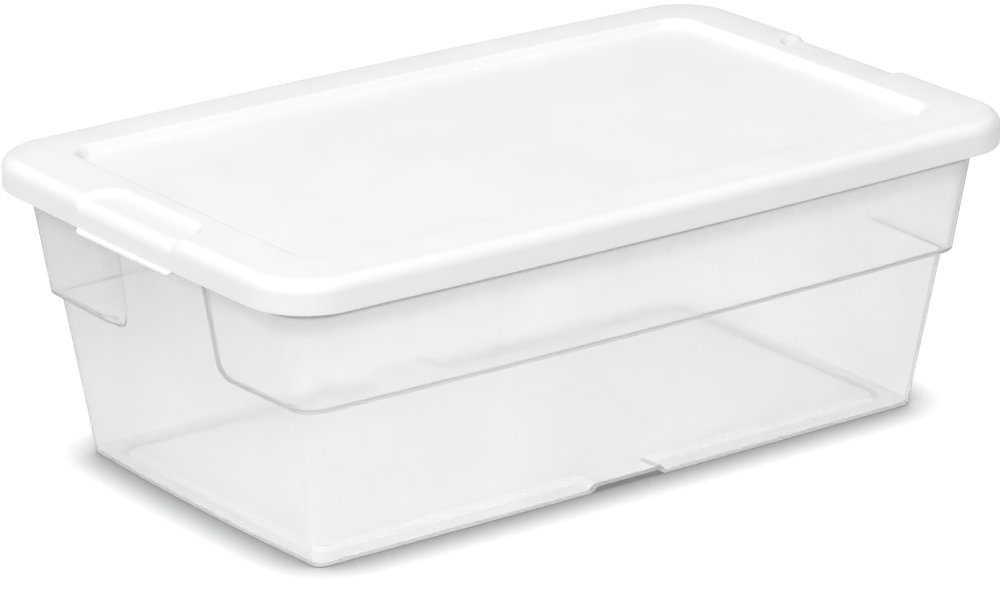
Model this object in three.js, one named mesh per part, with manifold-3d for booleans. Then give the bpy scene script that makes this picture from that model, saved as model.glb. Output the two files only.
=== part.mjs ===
// A shallow, clear storage box with a white press-on lid, millimetres, +Z up.
// The origin is the middle of the box's footprint, on the surface that it stands on.
// The long sides run along X. The box is two injection mouldings: a tub and a lid.

import * as THREE from 'three';
import { mergeVertices } from 'three/addons/utils/BufferGeometryUtils.js';
import Module from 'manifold-3d';

const wasm = await Module();
wasm.setup();

// ---------------------------------------------------------------- driving dimensions

// An outline is a rounded rectangle with slightly bowed sides: hx and hy are its half sizes
// at the corners, r its corner radius, and bowX and bowY how far the middle of a short side
// and of a long side stands out.
const LID_OUTLINE = { hx: 173, hy: 103, r: 25.6, bowX: 0.8, bowY: 2.2 };
const LID_TOP = 120.8; // crest of the lid's border, the highest point
const LID_SKIRT_BOTTOM = 107.8;
const LID_WALL = 1.5;
const RIM_RADIUS = 5.5; // rounding from the lid's skirt to its border

const PANEL_EDGE = { hx: 149.5, hy: 81, r: 12, bowX: 0.5, bowY: 1.2 }; // top of the sunk panel
const PANEL_FLOOR = { hx: 143.8, hy: 76, r: 9, bowX: 0.5, bowY: 1.2 };
const PANEL_MIDDLE = { hx: 128, hy: 61, r: 8, bowX: 0.3, bowY: 0.6 };
const PANEL_DEPTH = 3.4;
const PANEL_DISH = 0.15; // the panel's middle lies this much lower than its edge
const PANEL_SLOPE_SHIFT = 0.7; // outward shift of the slope's underside, as a share of the wall

const SCOOP = { half: 32, inner: 156, ramp: 2.5, depth: 1.8 }; // thumb scoop in each short border
const LIP = { half: 31, reach: 175.6, bottom: 106.3, top: 108.2, corner: 3 }; // pull lip at each end
const LIP_ROOT_SKIN = 0.05; // the lip's root stops this far inside the skirt's inner face

const TUB_WALL = 1.3;
const FOOT_OUTLINE = { hx: 142.3, hy: 75.2, r: 3, bowX: 1.8, bowY: 0.8 };
const WAIST_OUTLINE = { hx: 152.1, hy: 83.8, r: 8, bowX: 1.5, bowY: 2.3 }; // lower wall at the shoulder
const SHOULDER_OUTLINE = { hx: 155.3, hy: 87.1, r: 9.7, bowX: 1.5, bowY: 2.3 };
const MOUTH_OUTLINE = { hx: 164.3, hy: 94.6, r: 20, bowX: 1.2, bowY: 2.2 };
const SHOULDER_HEIGHT = 64.4;
const MOUTH_HEIGHT = 110.8;
const EDGE_CHAMFER = 1; // softened lower edges of the foot and the shoulder
const TIGHTEST_CORNER = 1.5; // an inset outline keeps at least this corner radius

const FIT_GAP = 0.35; // between the lid's underside and the tub's rim
const RIM_LIP_BOTTOM = 108.8; // the rolled rim's lower edge, hidden inside the lid's skirt

const RECESS = { half: 33.7, corner: 7.5 }; // the shoulder's gap at each short end

const FOOT_HEIGHT = 2.3; // the floor is raised by this much inside the foot
const FLOOR_OUTLINE = { hx: 134, hy: 63.5, r: 6, bowX: 0, bowY: 0 };
const FLOOR_DRAFT = 1; // the raised floor's sides lean in by this much
const NOTCH = { half: 16, slope: 2.5 }; // gap in the foot at the middle of each long side

const CORNER_STEPS = 6;
const LONG_SIDE_STEPS = 10;
const SHORT_SIDE_STOPS = [
  -SCOOP.half, -SCOOP.half + SCOOP.ramp, -15, 0, 15, SCOOP.half - SCOOP.ramp, SCOOP.half,
];
const RIM_ANGLES = [0, 22.5, 45, 67.5, 90].map(THREE.MathUtils.degToRad);
const BEYOND = 200; // cutters run this far past the box
const BELOW_FOOT = -1; // where the cutters under the floor start
const ABOVE_LID = LID_TOP + 5; // where the cutter of the tub's hollow ends
const MERGE_DISTANCE = 1e-4; // corners closer than this are one vertex

// Where the border's cross-section bends to follow the scoop's inner step, as insets.
const SCOOP_STEP_TOP = LID_OUTLINE.hx - SCOOP.inner;
const SCOOP_STEP_FOOT = SCOOP_STEP_TOP - SCOOP.ramp;

// ---------------------------------------------------------------- outlines and rings

// The outline that lies the given distance inside another.
function inset(outline, distance) {
  return {
    ...outline,
    hx: outline.hx - distance,
    hy: outline.hy - distance,
    r: Math.max(outline.r - distance, TIGHTEST_CORNER),
  };
}

// The outline between two others, or beyond them where t is more than 1.
function between(a, b, t) {
  const mixed = {};
  for (const key of Object.keys(a)) mixed[key] = THREE.MathUtils.lerp(a[key], b[key], t);
  return mixed;
}

const lowerWall = (z) => between(FOOT_OUTLINE, WAIST_OUTLINE, z / SHOULDER_HEIGHT);

const upperWall = (z) => between(
  SHOULDER_OUTLINE, MOUTH_OUTLINE, (z - SHOULDER_HEIGHT) / (MOUTH_HEIGHT - SHOULDER_HEIGHT),
);

// How far the thumb scoops lower the rim at a point: a flat dip with sloping edges.
function scoopDrop(x, y) {
  const { smoothstep } = THREE.MathUtils;
  const along = smoothstep(Math.abs(x), SCOOP.inner, SCOOP.inner + SCOOP.ramp);
  const across = 1 - smoothstep(Math.abs(y), SCOOP.half - SCOOP.ramp, SCOOP.half);
  return SCOOP.depth * along * across;
}

// The arc at one corner of an outline, anticlockwise from the given angle, as [x, y] pairs.
function corner({ hx, hy, r }, signX, signY, startAngle) {
  const points = [];
  for (let i = 0; i <= CORNER_STEPS; i += 1) {
    const angle = startAngle + (i / CORNER_STEPS) * (Math.PI / 2);
    points.push([signX * (hx - r) + r * Math.cos(angle), signY * (hy - r) + r * Math.sin(angle)]);
  }
  return points;
}

// The inner points of the short side at +X (sign 1) or -X (sign -1), anticlockwise.
function shortSide({ hx, hy, r, bowX }, sign) {
  const halfLength = hy - r;
  return SHORT_SIDE_STOPS.map((stop) => {
    const bow = bowX * (1 - (stop / halfLength) ** 2);
    return [sign * (hx + bow), sign * stop];
  });
}

// The inner points of the long side at +Y (sign 1) or -Y (sign -1), anticlockwise.
function longSide({ hx, hy, r, bowY }, sign) {
  const points = [];
  for (let i = 1; i < LONG_SIDE_STEPS; i += 1) {
    const t = 1 - (2 * i) / LONG_SIDE_STEPS;
    points.push([sign * t * (hx - r), sign * (hy + bowY * (1 - t * t))]);
  }
  return points;
}

// A closed ring of [x, y, z] points, the same number for every outline. A ring with scooped
// set follows the thumb scoops down.
function ring(outline, z, scooped = false) {
  const flat = [
    ...shortSide(outline, 1), ...corner(outline, 1, 1, 0),
    ...longSide(outline, 1), ...corner(outline, -1, 1, Math.PI / 2),
    ...shortSide(outline, -1), ...corner(outline, -1, -1, Math.PI),
    ...longSide(outline, -1), ...corner(outline, 1, -1, 1.5 * Math.PI),
  ];
  return flat.map(([x, y]) => [x, y, z - (scooped ? scoopDrop(x, y) : 0)]);
}

// ---------------------------------------------------------------- solids

// A closed surface through rings of equal length. It ends in a fan over the first and the last
// ring, or where endless is set the last ring joins the first.
function loft(rings, endless = false) {
  const count = rings[0].length;
  const positions = rings.flat(2);
  const index = [];
  const lastBand = endless ? rings.length : rings.length - 1;
  for (let band = 0; band < lastBand; band += 1) {
    const lower = band * count;
    const upper = ((band + 1) % rings.length) * count;
    for (let i = 0; i < count; i += 1) {
      const next = (i + 1) % count;
      index.push(lower + i, lower + next, upper + next, lower + i, upper + next, upper + i);
    }
  }
  if (!endless) {
    const first = positions.length / 3;
    const top = (rings.length - 1) * count;
    positions.push(0, 0, rings[0][0][2], 0, 0, rings.at(-1)[count - 1][2]);
    for (let i = 0; i < count; i += 1) {
      const next = (i + 1) % count;
      index.push(first, next, i, first + 1, top + i, top + next);
    }
  }
  const geometry = new THREE.BufferGeometry();
  geometry.setAttribute('position', new THREE.Float32BufferAttribute(positions, 3));
  geometry.setIndex(index);
  return geometry;
}

function solid(geometry) {
  const bare = geometry.clone();
  bare.deleteAttribute('normal');
  bare.deleteAttribute('uv');
  const merged = mergeVertices(bare, MERGE_DISTANCE);
  return new wasm.Manifold(new wasm.Mesh({
    numProp: 3,
    vertProperties: new Float32Array(merged.attributes.position.array),
    triVerts: new Uint32Array(merged.index.array),
  }));
}

function geometryOf(manifold) {
  const { numProp, vertProperties, triVerts } = manifold.getMesh();
  const positions = new Float32Array((vertProperties.length / numProp) * 3);
  for (let i = 0; i < positions.length / 3; i += 1) {
    positions.set(vertProperties.subarray(i * numProp, i * numProp + 3), i * 3);
  }
  const geometry = new THREE.BufferGeometry();
  geometry.setAttribute('position', new THREE.BufferAttribute(positions, 3));
  geometry.setIndex(new THREE.BufferAttribute(new Uint32Array(triVerts), 1));
  geometry.computeVertexNormals();
  return geometry;
}

// A bar of the given section, from -BEYOND to BEYOND along the axis `along`, with the section's
// first coordinate on `across` and its second on +Z.
function bar(section, across, along) {
  const geometry = new THREE.ExtrudeGeometry(section, {
    depth: 2 * BEYOND, bevelEnabled: false, curveSegments: CORNER_STEPS,
  });
  geometry.translate(0, 0, -BEYOND);
  geometry.applyMatrix4(new THREE.Matrix4().makeBasis(across, new THREE.Vector3(0, 0, 1), along));
  return solid(geometry);
}

// ---------------------------------------------------------------- tub

// The body between the foot and the mouth: the lower wall carried straight up, and outside it
// the wider upper part, which starts at the shoulder and is cut away at the short ends.
// Skin is how far the surface lies inside the tub's outer one.
function tubBody(skin, bottom, top, scooped) {
  const chamfer = skin ? 0 : EDGE_CHAMFER;
  const ledge = SHOULDER_HEIGHT + skin;
  const core = solid(loft([
    ring(inset(lowerWall(bottom), skin + chamfer), bottom),
    ring(inset(lowerWall(bottom + EDGE_CHAMFER), skin), bottom + EDGE_CHAMFER),
    ring(inset(lowerWall(SHOULDER_HEIGHT), skin), SHOULDER_HEIGHT),
    ring(inset(lowerWall(top), skin), top, scooped),
  ]));
  const wide = solid(loft([
    ring(inset(upperWall(ledge), skin + chamfer), ledge),
    ring(inset(upperWall(ledge + EDGE_CHAMFER), skin), ledge + EDGE_CHAMFER),
    ring(inset(upperWall(MOUTH_HEIGHT), skin), MOUTH_HEIGHT),
    ring(inset(upperWall(top), skin), top, scooped),
  ]));
  return core.add(wide.subtract(recessCutter(skin)));
}

// The gap in the shoulder at the short ends, with the shoulder's two corners rounded off.
function recessCutter(skin) {
  const half = RECESS.half + skin;
  const r = RECESS.corner;
  const ledge = SHOULDER_HEIGHT + skin;
  const section = new THREE.Shape();
  section.moveTo(-half - r, ledge - r);
  section.lineTo(half + r, ledge - r);
  section.lineTo(half + r, ledge);
  section.absarc(half + r, ledge + r, r, -Math.PI / 2, -Math.PI, true);
  section.lineTo(half, BEYOND);
  section.lineTo(-half, BEYOND);
  section.lineTo(-half, ledge + r);
  section.absarc(-half - r, ledge + r, r, 0, -Math.PI / 2, true);
  return bar(section, new THREE.Vector3(0, 1, 0), new THREE.Vector3(1, 0, 0));
}

// The rim: a flange around the mouth that rolls outward and down inside the lid's skirt.
function rolledRim() {
  const outerRadius = RIM_RADIUS - LID_WALL - FIT_GAP;
  const innerRadius = outerRadius - TUB_WALL;
  const centre = LID_TOP - RIM_RADIUS;
  const roll = (radius, angle) => ring(
    inset(LID_OUTLINE, RIM_RADIUS - radius * Math.cos(angle)),
    centre + radius * Math.sin(angle),
    true,
  );
  const stepTop = inset(LID_OUTLINE, SCOOP_STEP_TOP);
  const stepFoot = inset(LID_OUTLINE, SCOOP_STEP_FOOT);
  return solid(loft([
    ring(stepTop, centre + innerRadius, true),
    ring(stepFoot, centre + innerRadius, true),
    ...RIM_ANGLES.toReversed().map((angle) => roll(innerRadius, angle)),
    ring(inset(LID_OUTLINE, RIM_RADIUS - innerRadius), RIM_LIP_BOTTOM),
    ring(inset(LID_OUTLINE, RIM_RADIUS - outerRadius), RIM_LIP_BOTTOM),
    ...RIM_ANGLES.map((angle) => roll(outerRadius, angle)),
    ring(stepFoot, centre + outerRadius, true),
    ring(stepTop, centre + outerRadius, true),
  ], true));
}

// The block under the raised floor, from below the foot up to the given height: the floor's
// outline joined with the notches through the foot. Grow widens it.
function floorBlock(grow, top) {
  const base = inset(FLOOR_OUTLINE, -grow);
  const block = solid(loft([
    ring(inset(base, -FLOOR_DRAFT), BELOW_FOOT),
    ring(base, top),
  ]));
  const half = NOTCH.half + grow;
  const section = new THREE.Shape();
  section.moveTo(-half - NOTCH.slope, BELOW_FOOT);
  section.lineTo(half + NOTCH.slope, BELOW_FOOT);
  section.lineTo(half - NOTCH.slope, top);
  section.lineTo(-half + NOTCH.slope, top);
  const notch = bar(section, new THREE.Vector3(1, 0, 0), new THREE.Vector3(0, -1, 0));
  return block.add(notch);
}

function makeTub() {
  const rimTop = LID_TOP - LID_WALL - FIT_GAP;
  const outside = tubBody(0, 0, rimTop - TUB_WALL / 2, true).add(rolledRim());
  const hollow = tubBody(TUB_WALL, TUB_WALL, ABOVE_LID, false)
    .subtract(floorBlock(TUB_WALL, FOOT_HEIGHT + TUB_WALL));
  return outside.subtract(hollow).subtract(floorBlock(0, FOOT_HEIGHT));
}

// ---------------------------------------------------------------- lid

// Half of the lid's surface, from the skirt's lower edge to the panel's middle: the top where
// skin is 0, the underside where it is the wall's thickness.
function lidSurface(skin) {
  const radius = RIM_RADIUS - skin;
  const centre = LID_TOP - RIM_RADIUS;
  const border = LID_TOP - skin;
  return [
    ring(inset(LID_OUTLINE, skin), LID_SKIRT_BOTTOM),
    ...RIM_ANGLES.map((angle) => ring(
      inset(LID_OUTLINE, RIM_RADIUS - radius * Math.cos(angle)),
      centre + radius * Math.sin(angle),
      true,
    )),
    ring(inset(LID_OUTLINE, SCOOP_STEP_FOOT), border, true),
    ring(inset(LID_OUTLINE, SCOOP_STEP_TOP), border, true),
    ring(inset(PANEL_EDGE, -skin * PANEL_SLOPE_SHIFT), border),
    ring(inset(PANEL_FLOOR, -skin * PANEL_SLOPE_SHIFT), border - PANEL_DEPTH),
    ring(PANEL_MIDDLE, border - PANEL_DEPTH - PANEL_DISH),
  ];
}

// The pull lip along the skirt's lower edge at the +X end (sign 1) or the -X end (sign -1).
function pullLip(sign) {
  const root = LID_OUTLINE.hx + LID_OUTLINE.bowX - LID_WALL + LIP_ROOT_SKIN;
  const { half, reach, corner: r } = LIP;
  const plan = new THREE.Shape();
  plan.moveTo(root, -half);
  plan.lineTo(reach - r, -half);
  plan.absellipse(reach - r, -half + r, r, r, -Math.PI / 2, 0, false);
  plan.absellipse(reach - r, half - r, r, r, 0, Math.PI / 2, false);
  plan.lineTo(root, half);
  const geometry = new THREE.ExtrudeGeometry(plan, {
    depth: LIP.top - LIP.bottom, bevelEnabled: false, curveSegments: CORNER_STEPS,
  });
  geometry.translate(0, 0, LIP.bottom);
  if (sign < 0) geometry.rotateZ(Math.PI);
  return solid(geometry);
}

function makeLid() {
  const shell = solid(loft([...lidSurface(LID_WALL).toReversed(), ...lidSurface(0)]));
  return shell.add(pullLip(1)).add(pullLip(-1));
}

// ---------------------------------------------------------------- assembly

function part(name, manifold, material) {
  const mesh = new THREE.Mesh(geometryOf(manifold), material);
  mesh.name = name;
  return mesh;
}

const clearPlastic = new THREE.MeshStandardMaterial({
  color: 0xe6e8ea, roughness: 0.22, metalness: 0, transparent: true, opacity: 0.35,
});
const whitePlastic = new THREE.MeshStandardMaterial({
  color: 0xf4f4f4, roughness: 0.42, metalness: 0,
});

const box = new THREE.Group();
box.add(part('tub', makeTub(), clearPlastic));
box.add(part('lid', makeLid(), whitePlastic));

export default box;
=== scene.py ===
"""A shallow, clear storage box with a white press-on lid: its looks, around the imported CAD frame.

The tub and the lid are each one smooth shell, lofted through closed rings. Lengths are in
millimetres until a mesh is made, because that is how the mouldings are drawn.
"""
import math

import bpy
import numpy as np
from mathutils import Matrix, Vector


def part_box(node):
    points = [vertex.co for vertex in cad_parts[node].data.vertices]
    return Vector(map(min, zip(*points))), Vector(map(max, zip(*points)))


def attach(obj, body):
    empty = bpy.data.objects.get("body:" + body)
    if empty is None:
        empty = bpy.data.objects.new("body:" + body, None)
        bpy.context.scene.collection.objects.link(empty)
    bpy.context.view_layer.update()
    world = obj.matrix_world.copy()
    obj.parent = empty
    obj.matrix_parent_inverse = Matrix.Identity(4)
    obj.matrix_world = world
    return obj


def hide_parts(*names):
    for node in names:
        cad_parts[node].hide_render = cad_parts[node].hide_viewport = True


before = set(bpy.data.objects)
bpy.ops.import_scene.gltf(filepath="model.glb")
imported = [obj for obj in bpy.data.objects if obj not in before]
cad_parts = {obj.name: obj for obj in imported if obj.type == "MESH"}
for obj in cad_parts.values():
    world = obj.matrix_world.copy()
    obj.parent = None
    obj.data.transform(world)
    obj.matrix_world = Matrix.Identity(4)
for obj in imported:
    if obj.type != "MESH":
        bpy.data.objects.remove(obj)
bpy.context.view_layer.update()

# ------------------------------------------------------------ dimensions, in millimetres

MM = 0.001
LID_HIGH = np.array(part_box("lid")[1]) / MM
LID_LOW = np.array(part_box("lid")[0]) / MM


def outline(hx, hy, r, bow_x, bow_y):
    """A rounded rectangle: half sizes at the corners, corner radius, and how far the middles of
    the short and the long sides stand out."""
    return np.array([hx, hy, r, bow_x, bow_y], float)


LIP_OVERHANG = 1.8  # the pull lip's reach beyond the skirt
LIP_DROP = 1.5  # the pull lip's lower face is this far below the skirt's edge
LIP_THICKNESS = 1.35
LIP_HALF, LIP_CORNER = 31, 2.5  # half the pull lip's length, and the rounding of its ends
LID_BOW_X, LID_BOW_Y = 0.8, 2.2
LID_OUTLINE = outline(
    LID_HIGH[0] - LIP_OVERHANG - LID_BOW_X, LID_HIGH[1] - LID_BOW_Y, 25.6, LID_BOW_X, LID_BOW_Y
)
LID_TOP = LID_HIGH[2]
LID_WALL = 1.5
SKIRT_BOTTOM = LID_LOW[2] + LIP_DROP
SKIRT_EDGE = 0.45  # rounding of the skirt's and the lip's edges
RIM_RADIUS = 5.5  # rounding from the skirt to the border
RIM_CENTRE = LID_TOP - RIM_RADIUS

PANEL_EDGE = outline(149.5, 81, 12, 0.5, 1.2)
PANEL_FLOOR = outline(143.8, 76, 9, 0.5, 1.2)
PANEL_MIDDLE = outline(128, 61, 8, 0.3, 0.6)
PANEL_DEPTH = 3.4
PANEL_DISH = 0.15  # the panel's middle lies this much lower than its edge
PANEL_SHIFT = 0.7  # the slope's underside is further out than its top by this share of the wall
BORDER_WIDTH = 18.5  # from the lid's outline in to the panel's edge
CROWN = 0.5  # the border falls this much from the panel's edge out to the rim
BORDER_STEP = 0.7  # between the rings across the border

# The thumb scoop in each short border: half its width, how far from the middle its inner side is,
# the radius of that side's corners, the width of its slope and its depth.
SCOOP_HALF, SCOOP_INNER, SCOOP_CORNER, SCOOP_RAMP, SCOOP_DEPTH = 31, 157.2, 9, 3, 1.8

TUB_WALL = 1.3
FOOT = outline(142.3, 75.2, 4.5, 1.8, 0.8)
WAIST = outline(152.1, 83.8, 8, 1.5, 2.3)
SHOULDER = outline(155.3, 87.1, 9.7, 1.5, 2.3)
MOUTH = outline(164.3, 94.6, 20, 1.2, 2.2)
SHOULDER_Z, MOUTH_Z = 64.4, 110.8
# The step from the lower wall's plane out to the shoulder: where it starts and where it ends,
# as half the recess's width and as a height.
STEP_START, STEP_END = (29.9, 63.6), (35.6, 65.2)
STEP_CORNER = 6.5

FIT_GAP = 0.35  # between the lid's underside and the tub's rim
ROLL_OUTER = RIM_RADIUS - LID_WALL - FIT_GAP
ROLL_INNER = ROLL_OUTER - TUB_WALL
ROLL_LIP_BOTTOM = 108.8
RIM_WALL_Z = 117  # the wall's plan at this height is carried on up to the rim
MOUTH_EDGE = 0.6  # rounding from the rim down into the tub

FOOT_HEIGHT = 2.3
FOOT_EDGE = 0.45  # rounding of the foot's outer edge
FLOOR_PANEL = outline(134.4, 63.9, 6, 0, 0)
FLOOR_SLOPE = 2.2  # width of the slope round the raised floor
NOTCH_HALF, NOTCH_SLOPE = 16, 4.5  # of the gap in the foot at each long side's middle
NOTCH_FADE = 12  # the notch lifts the wall's lower edge, and this far up nothing of it is left
INNER_FILLET = 0.9  # rounding from the floor up into the wall, inside

# ------------------------------------------------------------ outlines and rings

CORNER_STEPS = 14
SMALLEST_CORNER = 1.2
INSET_SHARES = np.array([1, 1, 1, 0, 0], float)  # an inset leaves the bows as they are


def inset(base, distance):
    """The outline that lies the distance inside another."""
    inner = base - distance * INSET_SHARES
    inner[2] = max(inner[2], SMALLEST_CORNER)
    return inner


def mix(a, b, t):
    return a + (b - a) * t


def smooth(t):
    """0 to 1 with level ends."""
    t = np.clip(t, 0, 1)
    return t * t * t * (t * (6 * t - 15) + 10)


def lower_wall(z):
    return mix(FOOT, WAIST, z / SHOULDER_Z)


def upper_wall(z):
    return mix(SHOULDER, MOUTH, (z - SHOULDER_Z) / (MOUTH_Z - SHOULDER_Z))


def stops(fixed, limit, steps):
    """Places along a side, from -limit to limit: the fixed ones, then even steps to the end. A
    side too short for the fixed ones has them closer together."""
    fixed = np.multiply(fixed, min(1, 0.85 * limit / max(fixed[-1], 1)))
    half = np.concatenate([fixed, np.linspace(fixed[-1], limit, steps + 1)[1:]])
    return np.concatenate([-half[:0:-1], half])


def bowed(places, limit, bow):
    """How far a bowed side stands out, running level into the corners."""
    t = places / limit
    return bow * (1 - t**2) * (1 - t**8)


def plan(base, across, along):
    """The outline's points, anticlockwise from the -Y end of the +X side. across are the places
    along a short side and along those along a long side, as (fixed, steps) for stops()."""
    hx, hy, r, bow_x, bow_y = base
    ys = stops(across[0], hy - r, across[1])
    xs = stops(along[0], hx - r, along[1])
    short = np.stack([hx + bowed(ys, hy - r, bow_x), ys], 1)
    long = np.stack([-xs, hy + bowed(xs, hx - r, bow_y)], 1)
    turn = np.linspace(0, math.pi / 2, CORNER_STEPS + 1)[1:-1]
    arc = np.stack([hx - r + r * np.cos(turn), hy - r + r * np.sin(turn)], 1)
    other_arc = np.stack([-arc[::-1, 0], arc[::-1, 1]], 1)
    half = np.concatenate([short, arc, long, other_arc])
    return np.concatenate([half, -half])


def ring(points, z):
    """Plan points with their heights."""
    return np.column_stack([points, np.broadcast_to(z, len(points))])


def depth_in_corner(qx, qy, r):
    """How far a point lies inside a rounded corner. qx and qy are its distances beyond the
    corner's centre along the two sides."""
    outside = np.hypot(np.maximum(qx, 0), np.maximum(qy, 0))
    return r - outside - np.minimum(np.maximum(qx, qy), 0)


def inside_depth(points, base):
    """How far each point lies inside an outline with bowed sides."""
    hx, hy, r, bow_x, bow_y = base
    x, y = np.abs(points[:, 0]), np.abs(points[:, 1])
    side_x = hx + bow_x * np.clip(1 - (y / (hy - r)) ** 2, 0, 1)
    side_y = hy + bow_y * np.clip(1 - (x / (hx - r)) ** 2, 0, 1)
    return depth_in_corner(x - (side_x - r), y - (side_y - r), r)


def scoop_drop(points):
    """How far the thumb scoops lower the lid's border and the tub's rim at each point."""
    qx = SCOOP_INNER + SCOOP_CORNER - np.abs(points[:, 0])
    qy = np.abs(points[:, 1]) - (SCOOP_HALF - SCOOP_CORNER)
    return SCOOP_DEPTH * smooth(depth_in_corner(qx, qy, SCOOP_CORNER) / SCOOP_RAMP + 0.5)


def shell(name, rings):
    """A closed mesh through the rings, ending in a fan at each end."""
    count = len(rings[0])
    middles = [ring(np.zeros((1, 2)), end[:, 2].mean()) for end in (rings[0], rings[-1])]
    points = np.concatenate(rings + middles)
    i = np.arange(count)
    following = (i + 1) % count
    faces = []
    for band in range(len(rings) - 1):
        a, b = band * count, (band + 1) * count
        faces += np.stack([a + i, a + following, b + following, b + i], 1).tolist()
    first, last = len(points) - 2, (len(rings) - 1) * count
    faces += np.stack([np.full(count, first), following, i], 1).tolist()
    faces += np.stack([np.full(count, first + 1), last + i, last + following], 1).tolist()
    mesh = bpy.data.meshes.new(name)
    mesh.from_pydata((points * MM).tolist(), [], faces)
    mesh.polygons.foreach_set("use_smooth", [True] * len(mesh.polygons))
    mesh.validate()
    made = bpy.data.objects.new(name, mesh)
    bpy.context.scene.collection.objects.link(made)
    even = made.modifiers.new("even_normals", "WEIGHTED_NORMAL")
    even.weight = 100
    even.keep_sharp = False
    return made


# ------------------------------------------------------------ tub
#
# A wall's skin is its distance inside the tub's outer surface: 0, or TUB_WALL for the hollow.

ROUND_STOPS = [0, 7, 14, 20, 24, 26.5, 28, 28.9]
STEP_LEVELS = np.array([-0.08, 0, 0.05, 0.11, 0.18, 0.26, 0.35, 0.45, 0.57, 0.7, 0.85, 1, 1.15])
NOTCH_STOPS = np.concatenate([[0, 6, 10], np.arange(12.5, 20, 0.75), [22, 27, 34]])
TUB_LONG = (NOTCH_STOPS, 10)
STEP_BLEND = 25  # below the step, the places turn upright over this height


def tub_short(z, skin):
    """Places along the tub's short side at a height: they follow the recess's sides round its
    lower corners."""
    rise_start, rise_end = (
        np.clip(STEP_CORNER + level + skin - z, 0, STEP_CORNER)
        for _, level in (STEP_START, STEP_END)
    )
    start, end = (
        half + skin + STEP_CORNER - math.sqrt(STEP_CORNER**2 - rise**2)
        for (half, _), rise in ((STEP_START, rise_start), (STEP_END, rise_end))
    )
    upright = STEP_START[0] + skin + (STEP_END[0] - STEP_START[0]) * STEP_LEVELS
    below = np.clip((STEP_START[1] - 1 - z) / STEP_BLEND, 0, 1)
    side = mix(start + (end - start) * STEP_LEVELS, upright, below)
    return np.concatenate([ROUND_STOPS, side, [side[-1] + 1.5]]), 6


def step_depth(points, z, skin, edge):
    """How far each point lies beyond the step's start or end, round the recess's corner."""
    half, level = edge
    qy = half + skin + STEP_CORNER - np.abs(points[:, 1])
    qz = level + skin + STEP_CORNER - z
    return depth_in_corner(qy, qz, STEP_CORNER)


def shoulder_share(points, z, skin):
    """0 on the lower wall's plane and 1 on the shoulder. The step rises steeply from a tight
    inner corner and runs out softly."""
    start = step_depth(points, z, skin, STEP_START)
    end = step_depth(points, z, skin, STEP_END)
    t = np.clip(start / (start - end), 0, 1)
    return np.where(start <= 0, 0, np.sin(t * math.pi / 2) ** 1.15)[:, None]


def wall(z, skin, grow=0.0):
    """The wall's plan at a height, skin inside the outer surface and grown outward by grow."""
    places = tub_short(z, skin)
    low = plan(inset(lower_wall(z), skin - grow), places, TUB_LONG)
    high = plan(inset(upper_wall(z), skin - grow), places, TUB_LONG)
    return mix(low, high, shoulder_share(low, z, skin))


def floor_lift(points, skin=0.0):
    """How far the floor stands above the foot, as a share of the foot's height."""
    panel = smooth((inside_depth(points, FLOOR_PANEL) + skin) / FLOOR_SLOPE + 0.5)
    notch = smooth((NOTCH_HALF + skin - np.abs(points[:, 0])) / NOTCH_SLOPE + 0.5)
    return 1 - (1 - panel) * (1 - notch)


def notch_fade(z):
    """How much of the notch's lift is left in the wall at a height."""
    return max(1 - z / NOTCH_FADE, 0) ** 2


def fillet_radius(skin):
    return INNER_FILLET if skin else FOOT_EDGE


def lifted_wall(z, skin, fillet=0.0):
    """A ring of the wall near the foot, raised where the foot is notched."""
    low = wall(z, skin + fillet)
    share = floor_lift(low, skin) * notch_fade(z)
    high = wall(z + FOOT_HEIGHT, skin + fillet)
    share = share[:, None]
    return ring(mix(low, high, share), z + FOOT_HEIGHT * share[:, 0])


def floor_rings(skin):
    """The floor from its middle to the start of the wall's lower fillet."""
    places = tub_short(0, skin)
    edge = plan(inset(FOOT, skin + fillet_radius(skin)), places, TUB_LONG)
    made = []
    for distance in (50, 30, 15, 7, 3.5, 2, 1.4, 0.9, 0.45, 0, -0.45, -0.9, -1.4, -2):
        made.append(plan(inset(FLOOR_PANEL, distance - skin), places, TUB_LONG))
    slope_foot = made[-1]
    made += [mix(slope_foot, edge, t) for t in (0.3, 0.6, 0.85, 1)]
    return [ring(points, skin + FOOT_HEIGHT * floor_lift(points, skin)) for points in made]


def foot_rings(skin):
    """The fillet from the floor up into the wall."""
    radius = fillet_radius(skin)
    made = []
    for turn in np.radians([18, 36, 54, 72, 90]):
        inward, up = radius * (1 - math.sin(turn)), radius * (1 - math.cos(turn))
        raised = lifted_wall(skin + up, skin, inward)
        lift = FOOT_HEIGHT * floor_lift(raised[:, :2], skin) * notch_fade(up)
        raised[:, 2] = skin + up + lift
        made.append(raised)
    return made


def wall_rings(skin):
    """The wall from the foot's fillet to just under the rim."""
    start = skin + fillet_radius(skin) + 0.7
    made = [lifted_wall(z, skin) for z in (start, 4.5, 6.5, 9, 12.5, 18, 26, 36, 46, 55, 60)]
    low, high = STEP_START[1] + skin, STEP_END[1] + skin
    bend = low + (high - low) * np.concatenate([[-0.5, -0.2], STEP_LEVELS, [1.5]])
    corner = high + STEP_CORNER * np.array([0.3, 0.45, 0.6, 0.8, 1.0, 1.2])
    heights = np.concatenate([bend, corner, [78, 84, 91, 98, 104, 109, 112]])
    return made + [ring(wall(z, skin), z) for z in heights]


def roll_height(points, radius):
    """The height of the rim's rolled surface of a radius, level inside its crest."""
    reach = np.clip(RIM_RADIUS - inside_depth(points, LID_OUTLINE), 0, radius)
    return RIM_CENTRE + np.sqrt(radius**2 - reach**2) - scoop_drop(points)


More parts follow.
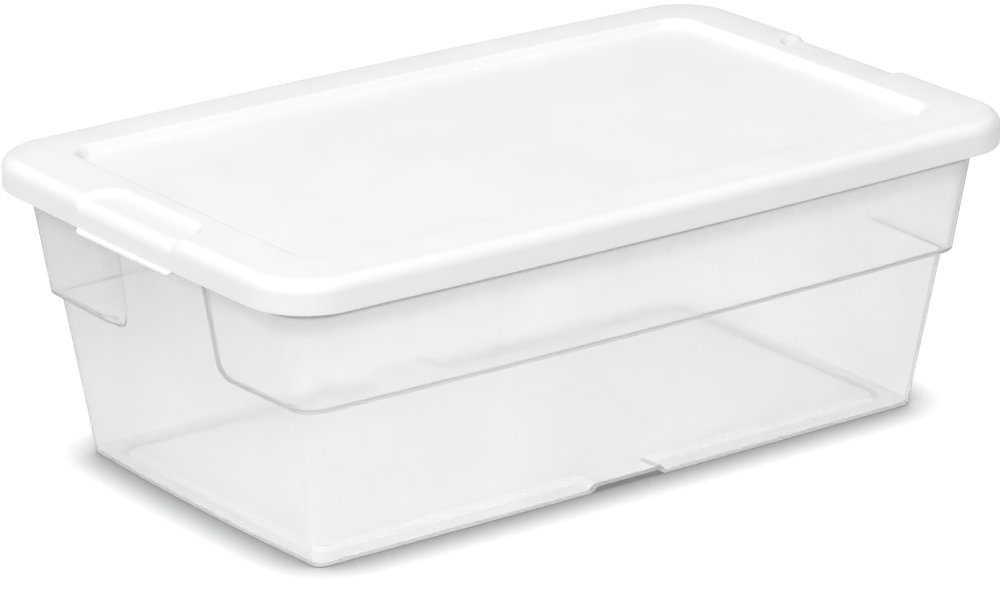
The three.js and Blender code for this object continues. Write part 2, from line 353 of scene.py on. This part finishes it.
def rim_rings():
    """From the wall's outer face, under the rolled rim, round its lip and over it to the mouth."""
    places = tub_short(MOUTH_Z + 5, 0)
    under_start, over_end = 62, 68  # the roll runs into the level flange at these degrees

    def roll(distance):
        return plan(inset(LID_OUTLINE, distance), places, TUB_LONG)

    def roll_plan(radius, degrees):
        return roll(RIM_RADIUS - radius * math.cos(math.radians(degrees)))

    def arc(radius, degrees):
        points = roll_plan(radius, degrees)
        z = RIM_CENTRE + radius * math.sin(math.radians(degrees))
        return ring(points, z - scoop_drop(points))

    outside = wall(RIM_WALL_Z, 0)
    under = roll_plan(ROLL_INNER, under_start)
    made = [ring(outside, roll_height(outside, ROLL_INNER) - below) for below in (1.6, 0.6)]
    for t, below in ((0.08, 0.2), (0.2, 0), (0.4, 0), (0.6, 0), (0.8, 0)):
        points = mix(outside, under, t)
        made.append(ring(points, roll_height(points, ROLL_INNER) - below))
    made += [arc(ROLL_INNER, degrees) for degrees in (under_start, 50, 38, 25, 12, 0)]

    half = TUB_WALL / 2
    for degrees in (180, 150, 120, 90, 60, 30, 0):
        turn = math.radians(degrees)
        points = roll(RIM_RADIUS - (ROLL_INNER + half) - half * math.cos(turn))
        made.append(ring(points, ROLL_LIP_BOTTOM + half - half * math.sin(turn)))

    made += [arc(ROLL_OUTER, degrees) for degrees in (0, 10, 20, 30, 40, 50, 60, over_end)]
    over = roll_plan(ROLL_OUTER, over_end)
    mouth = wall(RIM_WALL_Z, TUB_WALL, MOUTH_EDGE)
    for t in (0.25, 0.5, 0.75, 0.9, 1):
        points = mix(over, mouth, t)
        made.append(ring(points, roll_height(points, ROLL_OUTER)))
    for degrees in (30, 60, 90):
        turn = math.radians(degrees)
        points = wall(RIM_WALL_Z, TUB_WALL, MOUTH_EDGE * (1 - math.sin(turn)))
        fall = MOUTH_EDGE * (1 - math.cos(turn))
        made.append(ring(points, roll_height(mouth, ROLL_OUTER) - fall))
    return made


def make_tub():
    outside = floor_rings(0) + foot_rings(0) + wall_rings(0)
    hollow = floor_rings(TUB_WALL) + foot_rings(TUB_WALL) + wall_rings(TUB_WALL)
    return shell("clear_tub", outside + rim_rings() + hollow[::-1])


# ------------------------------------------------------------ lid

LID_SHORT = (np.concatenate([[0, 6, 12, 17], np.arange(20, 33.5, 0.55), [35, 40]]), 6)
LID_LONG = ([0], 14)


def lid_plan(base):
    return plan(base, LID_SHORT, LID_LONG)


def lid_ring(base, z, scooped=True):
    """A ring of the lid, which the thumb scoops lower unless scooped is False."""
    points = lid_plan(base)
    return ring(points, z - (scoop_drop(points) if scooped else 0))


def border_rings(skin):
    """One face of the lid from the top of the skirt to the panel's middle: its top where skin is
    0, and its underside where skin is the wall's thickness."""
    radius, top = RIM_RADIUS - skin, LID_TOP - skin
    made = []
    for degrees in range(0, 91, 9):
        turn = math.radians(degrees)
        rim = inset(LID_OUTLINE, RIM_RADIUS - radius * math.cos(turn))
        made.append(lid_ring(rim, RIM_CENTRE + (radius - CROWN) * math.sin(turn)))
    for distance in np.arange(RIM_RADIUS + BORDER_STEP, BORDER_WIDTH - 0.2, BORDER_STEP):
        fall = CROWN * ((BORDER_WIDTH - distance) / (BORDER_WIDTH - RIM_RADIUS)) ** 1.5
        made.append(lid_ring(inset(LID_OUTLINE, distance), top - fall))
    shift = -skin * PANEL_SHIFT
    edge, floor = inset(PANEL_EDGE, shift), inset(PANEL_FLOOR, shift)
    made.append(lid_ring(mix(inset(LID_OUTLINE, BORDER_WIDTH), edge, 0.6), top))
    for t in np.linspace(-0.1, 1.1, 15):
        made.append(lid_ring(mix(edge, floor, t), top - PANEL_DEPTH * smooth(t), False))
    slope_foot = mix(edge, floor, 1.1)
    for t in (0.1, 0.25, 0.45, 0.7, 1):
        depth = PANEL_DEPTH + PANEL_DISH * smooth(t)
        made.append(lid_ring(mix(slope_foot, PANEL_MIDDLE, t), top - depth, False))
    for distance in (15, 30, 45):
        made.append(lid_ring(inset(PANEL_MIDDLE, distance), top - PANEL_DEPTH - PANEL_DISH, False))
    return made


def skirt_rings():
    """From the skirt's inner face round its lower edge, with the pull lips, to its outer face.
    Both sections are given as (out from the lid's outline, up from the section's lower face)."""
    edge, tip, lip_top = SKIRT_EDGE, LIP_OVERHANG, LIP_THICKNESS
    soft = 0.13  # how far the middle of a rounded edge lies inside the square one
    inner_edge = [
        (-LID_WALL, 0.8), (-LID_WALL, edge), (soft - LID_WALL, soft), (edge - LID_WALL, 0)
    ]
    plain = inner_edge + [
        (-0.6, 0), (-edge, 0), (-0.3, 0.05), (-soft, soft), (-0.05, 0.3),
        (0, edge), (0, 0.55), (0, 0.65), (0, 0.8), (0, 1.0),
    ]
    lip = inner_edge + [
        (0.6, 0), (tip - edge, 0), (tip - soft, soft), (tip, edge), (tip, lip_top - edge),
        (tip - soft, lip_top - soft), (tip - edge, lip_top),
        (0.5, lip_top), (0.12, lip_top + 0.12), (0, lip_top + 0.5),
    ]
    base = lid_plan(LID_OUTLINE)
    on_short = np.abs(base[:, 0]) > LID_OUTLINE[0] - LID_OUTLINE[2]
    t = np.clip((np.abs(base[:, 1]) - (LIP_HALF - LIP_CORNER)) / LIP_CORNER, 0, 1)
    reach = np.where(on_short, np.sqrt(1 - t * t), 0)
    made = []
    for (plain_out, plain_up), (lip_out, lip_up) in zip(plain, lip):
        outer = lid_plan(inset(LID_OUTLINE, -lip_out))
        inner = lid_plan(inset(LID_OUTLINE, -plain_out))
        z = mix(SKIRT_BOTTOM + plain_up, SKIRT_BOTTOM - LIP_DROP + lip_up, reach)
        made.append(ring(mix(inner, outer, reach[:, None]), z))
    return made


def make_lid():
    underside, top = border_rings(LID_WALL)[::-1], border_rings(0)
    inner = lid_ring(inset(LID_OUTLINE, LID_WALL), RIM_CENTRE - SCOOP_DEPTH - 0.3, False)
    outer = lid_ring(LID_OUTLINE, SKIRT_BOTTOM + 1.25, False)
    return shell("white_lid", underside + [inner] + skirt_rings() + [outer] + top)


# ------------------------------------------------------------ materials

PLASTIC_IOR = 1.49

# Painted shade on the clear plastic, by height in metres: darker towards the lid, darkest in a thin
# band under the lid's skirt where its shadow falls, and as before above it. Each row is where the
# change starts, where it ends and the factor it ends at.
PAINTED_SKIRT_SHADE = ((0.094, 0.1025, 0.85), (0.1025, 0.1034, 0.6), (0.1045, 0.106, 1.667))


class Nodes:
    """A small helper to wire a material's nodes."""

    def __init__(self, name):
        self.material = bpy.data.materials.new(name)
        self.material.use_nodes = True
        self.tree = self.material.node_tree
        self.tree.nodes.clear()

    def add(self, kind, **values):
        """A new node, with its properties or its inputs set."""
        node = self.tree.nodes.new("ShaderNode" + kind)
        for key, value in values.items():
            if hasattr(node, key):
                setattr(node, key, value)
            else:
                node.inputs[key.replace("_", " ")].default_value = value
        return node

    def link(self, source, target):
        self.tree.links.new(source, target)


def noise(nodes, position, scale, detail):
    node = nodes.add("TexNoise", Scale=scale, Detail=detail, Roughness=0.5)
    nodes.link(position, node.inputs["Vector"])
    return node.outputs["Fac"]


def spread(nodes, value, low, high, source_low=0.3, source_high=0.7):
    """A value with its source range carried over to low and high, and level outside it."""
    node = nodes.add("MapRange")
    for key, number in (
        ("From Min", source_low), ("From Max", source_high), ("To Min", low), ("To Max", high)
    ):
        node.inputs[key].default_value = number
    nodes.link(value, node.inputs["Value"])
    return node.outputs["Result"]


def joined(nodes, operation, first, second):
    """Two values combined by a maths operation."""
    node = nodes.add("Math", operation=operation)
    nodes.link(first, node.inputs[0])
    nodes.link(second, node.inputs[1])
    return node.outputs["Value"]


def unsigned(nodes, value):
    """A value without its sign."""
    node = nodes.add("Math", operation="ABSOLUTE")
    nodes.link(value, node.inputs[0])
    return node.outputs["Value"]


def height_of(nodes, vector):
    """The Z part of a vector."""
    node = nodes.add("SeparateXYZ")
    nodes.link(vector, node.inputs["Vector"])
    return node.outputs["Z"]


def grey(nodes, value):
    """A colour with the value in all three channels."""
    node = nodes.add("CombineColor")
    for channel in ("Red", "Green", "Blue"):
        nodes.link(value, node.inputs[channel])
    return node.outputs["Color"]


def blend(nodes, share, first, second):
    """Two shaders mixed. The share of the second is a number or a node's output."""
    node = nodes.add("MixShader")
    if isinstance(share, float):
        node.inputs["Fac"].default_value = share
    else:
        nodes.link(share, node.inputs["Fac"])
    nodes.link(first, node.inputs[1])
    nodes.link(second, node.inputs[2])
    return node.outputs["Shader"]


def white_plastic():
    """Satin white polypropylene with a fine moulded texture. It lets a little light through."""
    nodes = Nodes("white_plastic")
    place = nodes.add("TexCoord").outputs["Object"]
    body = nodes.add("BsdfPrincipled")
    body.inputs["IOR"].default_value = PLASTIC_IOR
    tone = nodes.add("Mix", data_type="RGBA")
    tone.inputs["A"].default_value = (0.93, 0.93, 0.93, 1)
    tone.inputs["B"].default_value = (0.96, 0.96, 0.96, 1)
    nodes.link(spread(nodes, noise(nodes, place, 12, 3), 0, 1), tone.inputs["Factor"])
    nodes.link(tone.outputs["Result"], body.inputs["Base Color"])
    nodes.link(spread(nodes, noise(nodes, place, 45, 3), 0.34, 0.46), body.inputs["Roughness"])
    bump = nodes.add("Bump", Strength=0.1, Distance=0.0002)
    nodes.link(noise(nodes, place, 2200, 2), bump.inputs["Height"])
    nodes.link(bump.outputs["Normal"], body.inputs["Normal"])
    passing = nodes.add("BsdfTranslucent")
    passing.inputs["Color"].default_value = (0.95, 0.95, 0.95, 1)
    shown = blend(nodes, 0.12, body.outputs["BSDF"], passing.outputs["BSDF"])
    nodes.link(shown, nodes.add("OutputMaterial").inputs["Surface"])
    return nodes.material


def clear_plastic():
    """See-through polypropylene: slightly rough and slightly milky. It greys where it is seen edge
    on, for the longer way light goes inside it there and as painted shade for its dark edges; it
    has painted shade under the lid's skirt, and it is milkier along the foot."""
    nodes = Nodes("clear_plastic")
    place = nodes.add("TexCoord").outputs["Object"]
    facing = nodes.add("LayerWeight", Blend=0.5).outputs["Facing"]
    height = height_of(nodes, place)

    # Painted shade: the tone greys where the plastic is seen edge on, for its dark edges as well as
    # the longer way light goes inside it there; the noise factor is a random tone.
    shade = spread(nodes, facing, 1, 0.3, 0.72, 0.98)
    factors = [spread(nodes, facing, 1, 0.95, 0.3, 0.6)]
    # painted shade under the lid's skirt, by height
    factors += [spread(nodes, height, 1, factor, low, high) for low, high, factor in PAINTED_SKIRT_SHADE]
    factors += [spread(nodes, noise(nodes, place, 24, 3), 0.97, 1)]
    for factor in factors:
        shade = joined(nodes, "MULTIPLY", shade, factor)
    tone = grey(nodes, shade)

    glass = nodes.add("BsdfPrincipled")
    glass.inputs["IOR"].default_value = PLASTIC_IOR
    glass.inputs["Transmission Weight"].default_value = 1
    nodes.link(tone, glass.inputs["Base Color"])
    nodes.link(spread(nodes, noise(nodes, place, 30, 3), 0.07, 0.11), glass.inputs["Roughness"])
    bump = nodes.add("Bump", Strength=0.06, Distance=0.0004)
    nodes.link(noise(nodes, place, 45, 1), bump.inputs["Height"])
    nodes.link(bump.outputs["Normal"], glass.inputs["Normal"])

    through, back = nodes.add("BsdfTranslucent"), nodes.add("BsdfDiffuse")
    for side in (through, back):
        nodes.link(tone, side.inputs["Color"])
    haze = blend(nodes, 0.5, through.outputs["BSDF"], back.outputs["BSDF"])

    # The haze shows edge on, on the foot's lower face and on the lowest part of the walls.
    level = unsigned(nodes, height_of(nodes, nodes.add("NewGeometry").outputs["Normal"]))
    upright = spread(nodes, level, 1, 0, 0.3, 0.6)
    low_wall = joined(
        nodes, "MULTIPLY", upright, spread(nodes, height, 0.7, 0, 0.0009, 0.0018)
    )
    # edge on, the haze takes the greyed tone, which paints shade on the plastic's edges
    edge_on = spread(nodes, facing, 0.22, 0.9, 0.72, 0.96)
    under_foot = spread(nodes, height, 0.3, 0, 0.0003, 0.0009)
    share = joined(nodes, "ADD", joined(nodes, "ADD", edge_on, under_foot), low_wall)
    milky = blend(nodes, share, glass.outputs["BSDF"], haze)

    passing = nodes.add("BsdfTransparent")
    passing.inputs["Color"].default_value = (0.8, 0.8, 0.8, 1)
    for_shadows = nodes.add("LightPath").outputs["Is Shadow Ray"]
    out = nodes.add("OutputMaterial")
    nodes.link(blend(nodes, for_shadows, milky, passing.outputs["BSDF"]), out.inputs["Surface"])
    inside = nodes.add("VolumeAbsorption", Density=25.0)
    inside.inputs["Color"].default_value = (0, 0, 0, 1)
    nodes.link(inside.outputs["Volume"], out.inputs["Volume"])
    return nodes.material


# ------------------------------------------------------------ studio

# In metres.
FLOOR_HALF, FLOOR_Z = 6.0, -0.0002
CONTACT_SHADOW_REACH = 0.023  # the floor's painted contact shadow reaches this far from what stands on it
ACROSS = (0.5891, -0.8807, 0)  # the direction in which the painted light seen through the plastic falls off both ways


def make_camera():
    """A long lens at the height of someone looking down on a shelf, facing the near corner."""
    turn, tilt, distance = math.radians(-36.93), math.radians(19.4), 2.0569
    right = Vector((math.cos(turn), math.sin(turn), 0))
    back = Vector((
        math.sin(turn) * math.cos(tilt), -math.cos(turn) * math.cos(tilt), math.sin(tilt)
    ))
    up = back.cross(right)
    aim = Vector((0, 0, 0.060)) - right * 0.00268 - up * 0.00664
    data = bpy.data.cameras.new("camera")
    data.sensor_width = 36
    data.lens = 193.0
    data.clip_end = 50
    camera = bpy.data.objects.new("camera", data)
    bpy.context.scene.collection.objects.link(camera)
    axes = Matrix((right, up, back)).transposed().to_4x4()
    camera.matrix_world = Matrix.Translation(aim + back * distance) @ axes
    bpy.context.scene.camera = camera


def floor_material():
    """A pale, evenly lit table with a painted contact shadow: ambient occlusion darkens its glow
    and colour close to what stands on it. What is seen of it through the clear plastic has no
    contact shadow but a painted pool of light, which falls off to both sides."""
    nodes = Nodes("studio_floor")
    # Painted contact shadow: ambient occlusion darkens the floor's glow and colour near what stands
    # on it.
    near = nodes.add("AmbientOcclusion", Distance=CONTACT_SHADOW_REACH, samples=6)
    tone = grey(nodes, spread(nodes, near.outputs["AO"], 0.22, 1, 0.35, 0.96))
    ray = nodes.add("LightPath")
    glow = nodes.add("Emission")
    nodes.link(tone, glow.inputs["Color"])
    strength = spread(nodes, ray.outputs["Is Diffuse Ray"], 0.9, 0.4, 0, 1)
    nodes.link(strength, glow.inputs["Strength"])
    shaded = nodes.add("VectorMath", operation="SCALE", Scale=0.25)
    nodes.link(tone, shaded.inputs[0])
    table = nodes.add("BsdfDiffuse")
    nodes.link(shaded.outputs["Vector"], table.inputs["Color"])
    surface = nodes.add("AddShader")
    nodes.link(table.outputs["BSDF"], surface.inputs[0])
    nodes.link(glow.outputs["Emission"], surface.inputs[1])

    # Painted light seen through the clear plastic: there the floor glows without its contact
    # shadow, brightest in a band through the middle and dimmer to both sides.
    across = nodes.add("VectorMath", operation="DOT_PRODUCT")
    nodes.link(nodes.add("TexCoord").outputs["Object"], across.inputs[0])
    across.inputs[1].default_value = ACROSS
    aside = unsigned(nodes, across.outputs["Value"])
    below = nodes.add("Emission")
    nodes.link(spread(nodes, aside, 1.15, 0.6, 0.08, 0.26), below.inputs["Strength"])
    through = ray.outputs["Is Transmission Ray"]
    shown = blend(nodes, through, surface.outputs["Shader"], below.outputs["Emission"])
    nodes.link(shown, nodes.add("OutputMaterial").inputs["Surface"])
    return nodes.material


def make_floor():
    mesh = bpy.data.meshes.new("studio_floor")
    corners = ((-1, -1), (1, -1), (1, 1), (-1, 1))
    points = [(x * FLOOR_HALF, y * FLOOR_HALF, FLOOR_Z) for x, y in corners]
    mesh.from_pydata(points, [], [(0, 1, 2, 3)])
    mesh.materials.append(floor_material())
    table_top = bpy.data.objects.new("studio_floor", mesh)
    bpy.context.scene.collection.objects.link(table_top)


def area_light(name, place, size, watts, aim=(0, 0, 0.06)):
    data = bpy.data.lights.new(name, "AREA")
    data.shape = "RECTANGLE"
    data.size, data.size_y = size
    data.energy = watts
    light = bpy.data.objects.new(name, data)
    bpy.context.scene.collection.objects.link(light)
    light.location = place
    towards = Vector(aim) - Vector(place)
    light.rotation_euler = towards.to_track_quat("-Z", "Y").to_euler()


def make_lights():
    """A sky that is bright overhead and dim at the horizon, which darkens the edges of clear
    plastic, and one large soft key light above and in front, to the left."""
    world = bpy.data.worlds.new("studio")
    world.use_nodes = True
    tree = world.node_tree
    facing = tree.nodes.new("ShaderNodeVectorMath")
    facing.operation = "DOT_PRODUCT"
    facing.inputs[1].default_value = (-0.35, 0.15, 0.92)
    tree.links.new(tree.nodes.new("ShaderNodeTexCoord").outputs["Generated"], facing.inputs[0])
    rise = tree.nodes.new("ShaderNodeMapRange")
    tree.links.new(facing.outputs["Value"], rise.inputs["Value"])
    rise.inputs["From Min"].default_value = -0.3
    rise.inputs["To Min"].default_value = 0.16
    rise.inputs["To Max"].default_value = 0.86
    background = tree.nodes["Background"]
    background.inputs["Color"].default_value = (1, 1, 1, 1)
    tree.links.new(rise.outputs["Result"], background.inputs["Strength"])
    bpy.context.scene.world = world
    area_light("key", (-1.5, -1.7, 3.0), (2.8, 2.8), 92)
    bpy.context.scene.view_settings.view_transform = "Standard"


# ------------------------------------------------------------ assembly

make_camera()
make_floor()
make_lights()

tub = make_tub()
tub.data.materials.append(clear_plastic())
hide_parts("tub")
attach(tub, "tub")

lid = make_lid()
lid.data.materials.append(white_plastic())
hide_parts("lid")
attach(lid, "lid")
